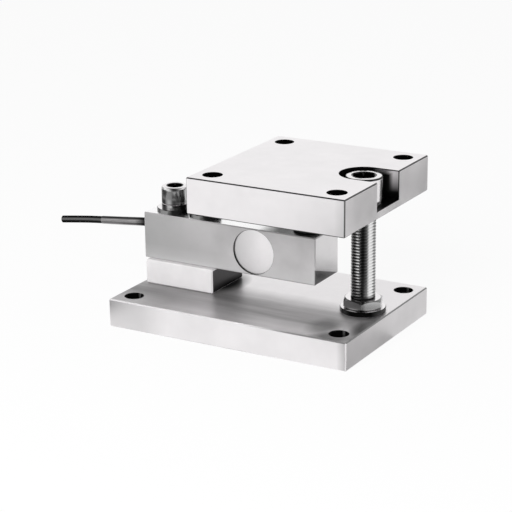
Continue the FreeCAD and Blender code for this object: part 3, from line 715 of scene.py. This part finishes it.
def fillGrooves(material, groove):
    # leans the normals of the thread towards those of a plain round bar
    tree = material.node_tree
    offset = vectorNode(tree, "SUBTRACT", coordinates(tree), groove["centre"])
    outward = vectorNode(tree, "NORMALIZE", vectorNode(tree, "MULTIPLY", offset, (1.0, 1.0, 0.0)))
    below = mathNode(tree, "LESS_THAN", heightOf(tree), groove["top"])
    turn = around(tree, groove)["Turn"]
    share = times(tree, below, ringTone(tree, turn, groove["fillRing"]))
    blend = addNode(tree, "ShaderNodeMix", data_type="VECTOR")
    for number, value in ((0, share), (4, coordinates(tree, "Normal")), (5, outward)):
        feed(tree, blend.inputs[number], value)
    tree.links.new(vectorNode(tree, "NORMALIZE", blend.outputs[1]), tree.nodes["Bump"].inputs["Normal"])
    return material


# Painted shade on the walls deep inside the slot
boltSlot = {"centre": (69.3 * mm, 0.0, 110.0 * mm), "radius": 16.06 * mm, "length": 17.0 * mm,
            "depth": 19.2 * mm, "line": 0.7 * mm, "tone": 0.03}


def slotShadeMark(tree, slot):
    shade = useGroup(tree, slotShade, Centre=slot["centre"], Radius=slot["radius"], Length=slot["length"],
                     Depth=slot["depth"], Line=slot["line"])["Shade"]
    return shade, grey(slot["tone"])


# Painted dark reflection lines on broken edges: the top plate's upper and upright ones, the base's right,
# the bolt's rim
topEdge = {"axis": 2, "slope": 0.65, "spread": 0.28, "tone": 0.14}
rightEdge = dict(topEdge, facing=0.3, tone=0.46)
uprightEdge = dict(topEdge, axis=0, tone=0.22)
boltRim = {**boltAxis, "radius": 11.2 * mm, "slope": 0.58, "spread": 0.4, "tone": 0.06}


def edgeReflectionMark(tree, edge):
    slope = mathNode(tree, "ABSOLUTE", facingOf(tree, edge["axis"]))
    return mathNode(tree, "COMPARE", slope, edge["slope"], edge["spread"]), grey(edge["tone"])


def rightEdgeReflectionMark(tree, edge):
    sloped, tone = edgeReflectionMark(tree, edge)
    return times(tree, sloped, rightMask(tree, edge)), tone


def rimReflectionMark(tree, rim):
    outside = mathNode(tree, "GREATER_THAN", around(tree, rim)["Reach"], rim["radius"])
    sloped = mathNode(tree, "COMPARE", riseOf(tree), rim["slope"], rim["spread"])
    return times(tree, outside, sloped), grey(rim["tone"])


# Undersides: painted shade on the top plate's, a tone of its own on the beam's; painted light on the
# beam's upper face
topUnderShadeTone = 0.45
beamUnderTone = 0.8
beamUpperLightTone = 0.95


def underMark(tree, tone):
    return mathNode(tree, "LESS_THAN", riseOf(tree), -flatFacing), grey(tone)


def upperLightMark(tree, tone):
    return upperFaces(tree), grey(tone)


# Painted shade round the load pin on the beam's upper face; a ramp is its two ends along X and the shares
# there
pinShade = {"left": (1.0 * mm, 12.5 * mm, 0.0, 0.93), "right": (36.0 * mm, 42.0 * mm, 1.0, 0.0), "tone": 0.2}


def pinShadeMark(tree, shading):
    along = placeOf(tree, 0)
    mask = rampProduct(tree, upperFaces(tree), (along, shading["left"]), (along, shading["right"]))
    return mask, grey(shading["tone"])


# Painted contact shadow at the foot of the spacer's right end
spacerFootShadow = {"facing": flatFacing, "ramp": (20.0 * mm, 24.5 * mm), "tone": 0.01}


def footShadowMark(tree, foot):
    shadowed = rangeNode(tree, heightOf(tree), 1.0, 0.0, *foot["ramp"])
    return times(tree, shadowed, rightMask(tree, foot)), grey(foot["tone"])


# Painted shade on the wall of the recess round a gauge cover
coverRecess = {"centre": (-2.6 * mm, 0.0, 51.5 * mm), "radius": 15.25 * mm, "tone": 0.04}


def recessShadeMark(tree, recess):
    offset = vectorNode(tree, "SUBTRACT", coordinates(tree), recess["centre"])
    reach = vectorNode(tree, "LENGTH", vectorNode(tree, "MULTIPLY", offset, (1.0, 0.0, 1.0)))
    return mathNode(tree, "LESS_THAN", reach, recess["radius"]), grey(recess["tone"])


# Root of the sleeve, dark where it enters the gland
sleeveRoot = {"ramp": (-110.0 * mm, -103.0 * mm), "tone": 0.05}


def rootMark(tree, root):
    return rampUp(tree, placeOf(tree, 0), root["ramp"]), grey(root["tone"])


# Painted dark reflection along the top of the sleeve
sleeveTopReflection = {"rise": (0.70, 0.86), "tone": 0.02}


def topReflectionMark(tree, reflection):
    return rampUp(tree, riseOf(tree), reflection["rise"]), grey(reflection["tone"])


# Painted dark reflection on the lower corner of the beam's loaded end, up to a slanting line
endReflection = {"end": 42.5 * mm, "level": 35.6 * mm, "rear": 16.5 * mm, "slope": 0.32, "tone": 0.2}


def endReflectionMark(tree, stain):
    along, across, rise = splitVector(tree, coordinates(tree))
    slope = stain["slope"]
    line = mathNode(tree, "MULTIPLY_ADD", across, -slope, stain["level"] + stain["rear"] * slope)
    below = mathNode(tree, "LESS_THAN", rise, line)
    ahead = mathNode(tree, "GREATER_THAN", along, stain["end"])
    return times(tree, below, ahead), grey(stain["tone"])


# Painted shade on front faces along X, towards the left or at the right end, or painted light along Z
beamShade = {"axis": 0, "ramp": (-10.0 * mm, -88.0 * mm), "share": 0.8, "tone": 0.36}
beamLight = dict(beamShade, axis=2, ramp=(46.0 * mm, 37.0 * mm), share=0.4, tone=0.72)
baseShade = dict(beamShade, ramp=(-42.0 * mm, -62.0 * mm), share=0.25)
cornerShade = dict(beamShade, ramp=(81.0 * mm, 88.0 * mm), share=0.55, tone=0.15)
topShade = dict(beamShade, ramp=(79.0 * mm, 88.0 * mm), share=0.35)
coverShade = dict(beamShade, ramp=(3.0 * mm, -15.0 * mm), share=0.42)


def fadeMark(tree, gradient):
    fade = rangeNode(tree, placeOf(tree, gradient["axis"]), 0.0, gradient["share"], *gradient["ramp"])
    front = mathNode(tree, "LESS_THAN", facingOf(tree, 1), -flatFacing)
    return times(tree, fade, front), grey(gradient["tone"])


# Base plate: rougher finish and painted shade in a band on the front half of its top, less at the edge and
# beside the bolt
wornAndShadedFront = dict(groundBase, metallic=0.75, tones=(0.34, 0.60), roughness=(0.32, 0.48),
                 stretch=(12.0, 110.0, 110.0), streaky=True,
                 rear=(-14.0 * mm, 11.0 * mm, 1.0, 0.0), front=(-46.0 * mm, -31.0 * mm, 0.05, 1.0),
                 bolt=(67.0 * mm, 80.0 * mm, 1.0, 0.05), waviness=12.0 * mm)
# painted dark patches on it, shade and reflections: the middle and half the size of each in mm, and its
# share
shadePatches = {"places": [((-72.0, -44.0, 19.0), (60.0, 34.0, 9.0), 0.4),
                      ((61.0, -39.0, 19.0), (12.0, 18.0, 9.0), 0.5),
                      ((86.0, -27.0, 19.0), (9.0, 26.0, 9.0), 0.65),
                      ((75.0, -55.0, 19.0), (16.0, 13.0, 9.0), 0.65)],
           "core": 0.4, "tone": 0.1}
# and a painted shadow beside the spacer's right end
spacerShadow = {"places": [((-36.0, 4.0, 19.0), (16.0, 25.0, 9.0), 1.0)], "core": 0.4, "tone": 0.02}
# its front edge is worn bright, but for the right end
wornEdge = dict(blastedFace, tones=(0.60, 0.70), fade=(10.0 * mm, 45.0 * mm))
# and so is the upright edge of its front right corner
wornCorner = dict(blastedFace, tones=(0.60, 0.70), right=86.8 * mm, front=-59.3 * mm)


def wornAndShadedMask(tree, worn):
    along, across, _ = splitVector(tree, coordinates(tree))
    cloud = useGroup(tree, groundFinish, Stretch=worn["stretch"], Patches=worn["patches"])["Cloud"]
    wavy = mathNode(tree, "MULTIPLY_ADD", cloud, worn["waviness"], across)
    return rampProduct(tree, upperFaces(tree), (wavy, worn["rear"]), (wavy, worn["front"]),
                       (along, worn["bolt"]))


def shadePatchMark(tree, shadeSpots):
    mask = 0.0
    for middle, half, share in shadeSpots["places"]:
        middle, half = (tuple(length * mm for length in lengths) for lengths in (middle, half))
        offset = vectorNode(tree, "DIVIDE", vectorNode(tree, "SUBTRACT", coordinates(tree), middle), half)
        spot = rangeNode(tree, vectorNode(tree, "LENGTH", offset), share, 0.0, shadeSpots["core"])
        mask = mathNode(tree, "MAXIMUM", mask, spot)
    return times(tree, mask, upperFaces(tree)), grey(shadeSpots["tone"])


def wornEdgeMask(tree, worn):
    left = rangeNode(tree, placeOf(tree, 0), 1.0, 0.0, *worn["fade"])
    return times(tree, left, edgeReflectionMark(tree, topEdge)[0])


def cornerMask(tree, worn):
    along, across, _ = splitVector(tree, coordinates(tree))
    right = mathNode(tree, "GREATER_THAN", along, worn["right"])
    front = mathNode(tree, "LESS_THAN", across, worn["front"])
    return times(tree, right, front)


# Plastics and rubber: a tone that drifts a little, scuffs in the roughness and a fine bump
def makePlastic(name, finish, **values):
    material, tree, shader = newMaterial(name, **values)
    marks = useGroup(tree, groundFinish, Stretch=finish["stretch"], Patches=finish["patches"])
    colour = mixColour(tree, marks["Cloud"], (*finish["dark"], 1.0), (*finish["light"], 1.0))
    tree.links.new(colour, shader.inputs["Base Color"])
    tree.links.new(rangeNode(tree, marks["Streak"], *finish["roughness"]), shader.inputs["Roughness"])
    addBump(tree, shader, marks["Streak"], finish["depth"])
    return material


# painted sheen: the coat covers only the jacket's sides, by facing, so its top and underside show no
# reflection
glossyJacket = {"dark": (0.004, 0.004, 0.004), "light": (0.008, 0.008, 0.008), "roughness": (0.40, 0.55),
                "stretch": (120.0, 2600.0, 2600.0), "patches": 60.0, "depth": 0.01 * mm,
                "coatIOR": 2.3, "coatRoughness": 0.14, "under": (-0.2, 0.1), "over": (0.45, 0.75)}


def makeJacket(finish):
    material = makePlastic("glossyJacket", finish, Specular_IOR_Level=0.0, Coat_IOR=finish["coatIOR"],
                           Coat_Roughness=finish["coatRoughness"])
    tree = material.node_tree
    rise = riseOf(tree)
    shine = times(tree, rampUp(tree, rise, finish["under"]),
                  rangeNode(tree, rise, 1.0, 0.0, *finish["over"]))
    tree.links.new(shine, tree.nodes["Principled BSDF"].inputs["Coat Weight"])
    return material


sealRubber = {"dark": (0.010, 0.010, 0.010), "light": (0.022, 0.022, 0.022), "roughness": (0.5, 0.7),
              "stretch": (900.0, 900.0, 900.0), "patches": 200.0, "depth": 0.01 * mm}
solderMask = dict(sealRubber, dark=(0.02, 0.12, 0.05), light=(0.04, 0.18, 0.08), roughness=(0.3, 0.45),
                  patches=300.0, depth=0.005 * mm)
amberFilm = dict(solderMask, dark=(0.42, 0.24, 0.05), light=(0.56, 0.36, 0.10), roughness=(0.3, 0.5),
                 stretch=(200.0, 200.0, 3000.0))
redSheath = dict(solderMask, dark=(0.40, 0.04, 0.03), light=(0.50, 0.07, 0.05), roughness=(0.35, 0.5),
                 stretch=(300.0, 1500.0, 1500.0), patches=150.0)
coreColours = {"centre": (0.0, 9.8 * mm, 43.35 * mm), "roughness": 0.45,
               "lowFront": (0.45, 0.05, 0.04), "lowRear": (0.02, 0.02, 0.02),
               "highFront": (0.70, 0.70, 0.66), "highRear": (0.04, 0.28, 0.08)}


def makeCoreMaterial(colours):
    # each of the four cores has its own sheath, told apart by its place round the axis
    material, tree, shader = newMaterial("coreSheaths", Roughness=colours["roughness"])
    offset = splitVector(tree, vectorNode(tree, "SUBTRACT", coordinates(tree), colours["centre"]))
    rear = mathNode(tree, "GREATER_THAN", offset[1], 0.0)
    high = mathNode(tree, "GREATER_THAN", offset[2], 0.0)
    lower = mixColour(tree, rear, (*colours["lowFront"], 1.0), (*colours["lowRear"], 1.0))
    upper = mixColour(tree, rear, (*colours["highFront"], 1.0), (*colours["highRear"], 1.0))
    tree.links.new(mixColour(tree, high, lower, upper), shader.inputs["Base Color"])
    return material


def wear(material, *objects):
    for item in objects:
        if not item.material_slots:
            item.data.materials.append(material)
        for slot in item.material_slots:
            slot.material = material


def wearNodes(material, *names):
    wear(material, *(cadNodes[name] for name in names))


baseMarks = [(shadePatchMark, shadePatches), (shadePatchMark, spacerShadow), (rightEdgeReflectionMark, rightEdge),
             (fadeMark, baseShade), (fadeMark, cornerShade), (boreShadeMark, anchorBores)]
basePatches = [(wornAndShadedMask, wornAndShadedFront), (wornEdgeMask, wornEdge), (cornerMask, wornCorner)]
topMarks = [(underMark, topUnderShadeTone), (fadeMark, topShade), (edgeReflectionMark, uprightEdge), (edgeReflectionMark, topEdge),
            (boreShadeMark, tankBores), (slotShadeMark, boltSlot)]
beamMarks = [(underMark, beamUnderTone), (upperLightMark, beamUpperLightTone), (pinShadeMark, pinShade),
             (fadeMark, beamShade), (fadeMark, beamLight), (endReflectionMark, endReflection), (recessShadeMark, coverRecess)]
beamPatches = [(flankMask, satinBeam)]
spacerPatches = [(rightMask, groundEnd)]
boltMarks = [(boreShadeMark, boltSocket), (rimReflectionMark, boltRim), (grooveReflectionMark, boltGrooves)]
screwMarks = [(boreShadeMark, screwSockets), (sideReflectionMark, screwSides)]
wearNodes(makeMetal("groundBase", groundBase, *baseMarks, patches=basePatches), "base_plate")
wearNodes(makeMetal("groundTop", groundPlate, *topMarks), "top_plate")
spacerSteel = makeMetal("spacerSteel", blastedFace, (footShadowMark, spacerFootShadow), patches=spacerPatches)
wearNodes(spacerSteel, "spacer_block")
wearNodes(makeMetal("beamSteel", groundBeam, *beamMarks, patches=beamPatches), "load_cell_beam")
coverSteel = makeMetal("turnedCover", turnedCover, (fadeMark, coverShade))
wearNodes(coverSteel, "gauge_cover_front", "gauge_cover_rear")
boltSteel = fillGrooves(makeMetal("platedBolt", platedScrew, *boltMarks), boltGrooves)
wear(boltSteel, holdDown, cadNodes["hold_down_bolt"])
wear(makeMetal("platedScrew", platedScrew, *screwMarks), screws, cadNodes["mounting_screws"])
wearNodes(makeMetal("platedNut", platedScrew, (sideReflectionMark, nutSides)), "hold_down_nut")
wearNodes(makeMetal("flatWasher", platedScrew, (sideReflectionMark, washerSides)), "mounting_flat_washers")
wearNodes(makeMetal("springWasher", platedScrew, (sideReflectionMark, springSides)), "mounting_spring_washers")
wearNodes(makeMetal("boltWasher", platedScrew, (sideReflectionMark, boltWasherSides)), "hold_down_washer")
wearNodes(makeMetal("hardenedPin", hardenedPin), "load_pin", "bearing_cup", "bearing_plate")
wearNodes(makeMetal("nickelGland", nickelGland), "gland_body", "gland_nut")
sleeveMarks = [(rootMark, sleeveRoot), (topReflectionMark, sleeveTopReflection)]
wearNodes(makeMetal("polishedSleeve", polishedSleeve, *sleeveMarks), "strain_relief_sleeve")
wear(makeJacket(glossyJacket), signalCable, cadNodes["signal_cable"])
wear(makeCoreMaterial(coreColours), cableCores)
wearNodes(makePlastic("sealRubber", sealRubber), "pin_seal_ring", "gland_seal")
wearNodes(makePlastic("amberFilm", amberFilm), "shear_gauge_front", "shear_gauge_rear")
wearNodes(makePlastic("solderMask", solderMask), "terminal_board")
wearNodes(makePlastic("redSheath", redSheath), "lead_wires")
print("finishes applied")


# Studio: pale floor with dark and grey cards, a sky that is bright behind and to the left, one soft lamp
studio = {
    "floorReach": 4.0,              # metres from the middle
    "floorDrop": 0.1 * mm,          # below the part, so that they do not share a plane
    "floorTone": 0.82,
    "floorRoughness": 0.9,
    "cameraGlow": 0.92,             # share of plain white that the camera sees on the floor
    "glossGlow": 0.8,               # share of plain white that polished metal sees there
    # azimuth in degrees from +X, and the tone of the sky there
    "skyRing": [(-180, 1.0), (-156, 1.0), (-138, 0.5), (-20, 0.45), (-8, 0.9), (28, 0.9), (44, 0.45),
                (82, 0.45), (100, 1.0), (180, 1.0)],
    "band": (0.55, 0.78),           # sine of the elevation where the ring fades into a darker collar
    "collarRing": [(-180, 0.05), (-110, 0.05), (-90, 0.3), (112, 0.3), (130, 0.05), (180, 0.05)],
    "dome": (0.92, 0.98),           # and where the collar gives way to a pale dome
    "domeTone": 0.65,
    "cardHeight": -0.05,            # mm
    # tone and corners of each card, mm on the floor; only polished metal sees them
    "cards": [(0.03, [(40, -122), (130, -122), (145, -100), (270, -300), (-10, -300), (-50, -282),
                      (-50, -212), (36, -200)]),
              (0.12, [(145, -100), (158, -42), (430, -137), (430, -300), (270, -300)]),
              (0.34, [(88, -61), (150, -61), (150, 40), (88, 10)]),
              (0.58, [(88, 10), (150, 40), (150, 130), (88, 130)]),
              (0.46, [(165, 105), (300, 105), (310, 240), (175, 240)]),
              (0.06, [(175, 240), (310, 240), (340, 480), (190, 480)]),
              (0.10, [(-148, -150), (-100, -150), (-112, 10), (-148, 10)]),
              (0.40, [(-212, -150), (-148, -150), (-148, 10), (-212, 10)]),
              (0.08, [(-340, -150), (-212, -150), (-212, 10), (-340, 10)])],
    # tone, two ends and two heights of a card that stands in front on the left, for the cable
    "standCards": [(1.0, (-470, -270), (-190, -400), (150, 290))],
    "lampPlace": (0.1, -1.3, 0.75),
    "lampSize": 0.9,
    "lampPower": 26.0,
}


def addStage(name, shape, material):
    mesh = bpy.data.meshes.new(name)
    shape.to_mesh(mesh)
    shape.free()
    mesh.materials.append(material)
    item = bpy.data.objects.new(name, mesh)
    scene.collection.objects.link(item)
    return item


def makeFloor(size):
    material, tree, shader = newMaterial("paleFloor", Base_Color=grey(size["floorTone"]),
                                         Roughness=size["floorRoughness"], Specular_IOR_Level=0.0)
    rays = addNode(tree, "ShaderNodeLightPath").outputs
    mirrored = mathNode(tree, "MAXIMUM", rays["Is Glossy Ray"], rays["Is Transmission Ray"])
    glow = setInputs(addNode(tree, "ShaderNodeEmission"), Color=grey(1.0), Strength=1.0)
    seen = times(tree, rays["Is Camera Ray"], size["cameraGlow"])
    share = mathNode(tree, "MULTIPLY_ADD", mirrored, size["glossGlow"], seen)
    mix = addNode(tree, "ShaderNodeMixShader")
    for socket, source in zip(mix.inputs, (share, shader.outputs[0], glow.outputs[0])):
        tree.links.new(source, socket)
    tree.links.new(mix.outputs[0], tree.nodes["Material Output"].inputs["Surface"])
    shape = bmesh.new()
    bmesh.ops.create_grid(shape, x_segments=1, y_segments=1, size=size["floorReach"],
                          matrix=Matrix.Translation((0, 0, -size["floorDrop"])))
    addStage("studioFloor", shape, material)


def makeCards(size):
    height = size["cardHeight"]
    cards = [(tone, [(*corner, height) for corner in corners]) for tone, corners in size["cards"]]
    for tone, left, right, (low, high) in size["standCards"]:
        cards.append((tone, [(*left, low), (*right, low), (*right, high), (*left, high)]))
    for number, (tone, corners) in enumerate(cards, 1):
        material = newMaterial(f"greyCard{number}", Base_Color=grey(0.0), Emission_Color=grey(tone),
                               Emission_Strength=1.0)[0]
        shape = bmesh.new()
        shape.faces.new([shape.verts.new(Vector(corner) * mm) for corner in corners])
        card = addStage(f"greyCard{number}", shape, material)
        for ray in ("camera", "diffuse", "shadow", "transmission"):
            setattr(card, "visible_" + ray, False)


def makeWorld(size):
    world = bpy.data.worlds.new("studioWorld")
    world.use_nodes = True
    scene.world = world
    tree = world.node_tree
    direction = coordinates(tree, "Generated")
    height = splitVector(tree, direction)[2]
    turn = addNode(tree, "ShaderNodeTexGradient", gradient_type="RADIAL")
    tree.links.new(direction, turn.inputs["Vector"])
    light = mixColour(tree, rampUp(tree, height, size["band"]),
                      ringTone(tree, turn.outputs["Fac"], size["skyRing"]),
                      ringTone(tree, turn.outputs["Fac"], size["collarRing"]))
    light = mixColour(tree, rampUp(tree, height, size["dome"]), light, grey(size["domeTone"]))
    path = addNode(tree, "ShaderNodeLightPath")
    shown = mixColour(tree, path.outputs["Is Camera Ray"], light, grey(1.0))
    tree.links.new(shown, tree.nodes["Background"].inputs["Color"])


def makeLamp(size):
    data = bpy.data.lights.new("softLamp", "AREA")
    data.size = size["lampSize"]
    data.energy = size["lampPower"]
    lamp = bpy.data.objects.new("softLamp", data)
    place = Vector(size["lampPlace"])
    lamp.matrix_world = Matrix.Translation(place) @ place.to_track_quat("Z", "Y").to_matrix().to_4x4()
    lamp.visible_glossy = False
    scene.collection.objects.link(lamp)


makeFloor(studio)
makeCards(studio)
makeWorld(studio)
makeLamp(studio)
scene.view_settings.view_transform = "Standard"
print("studio lit")
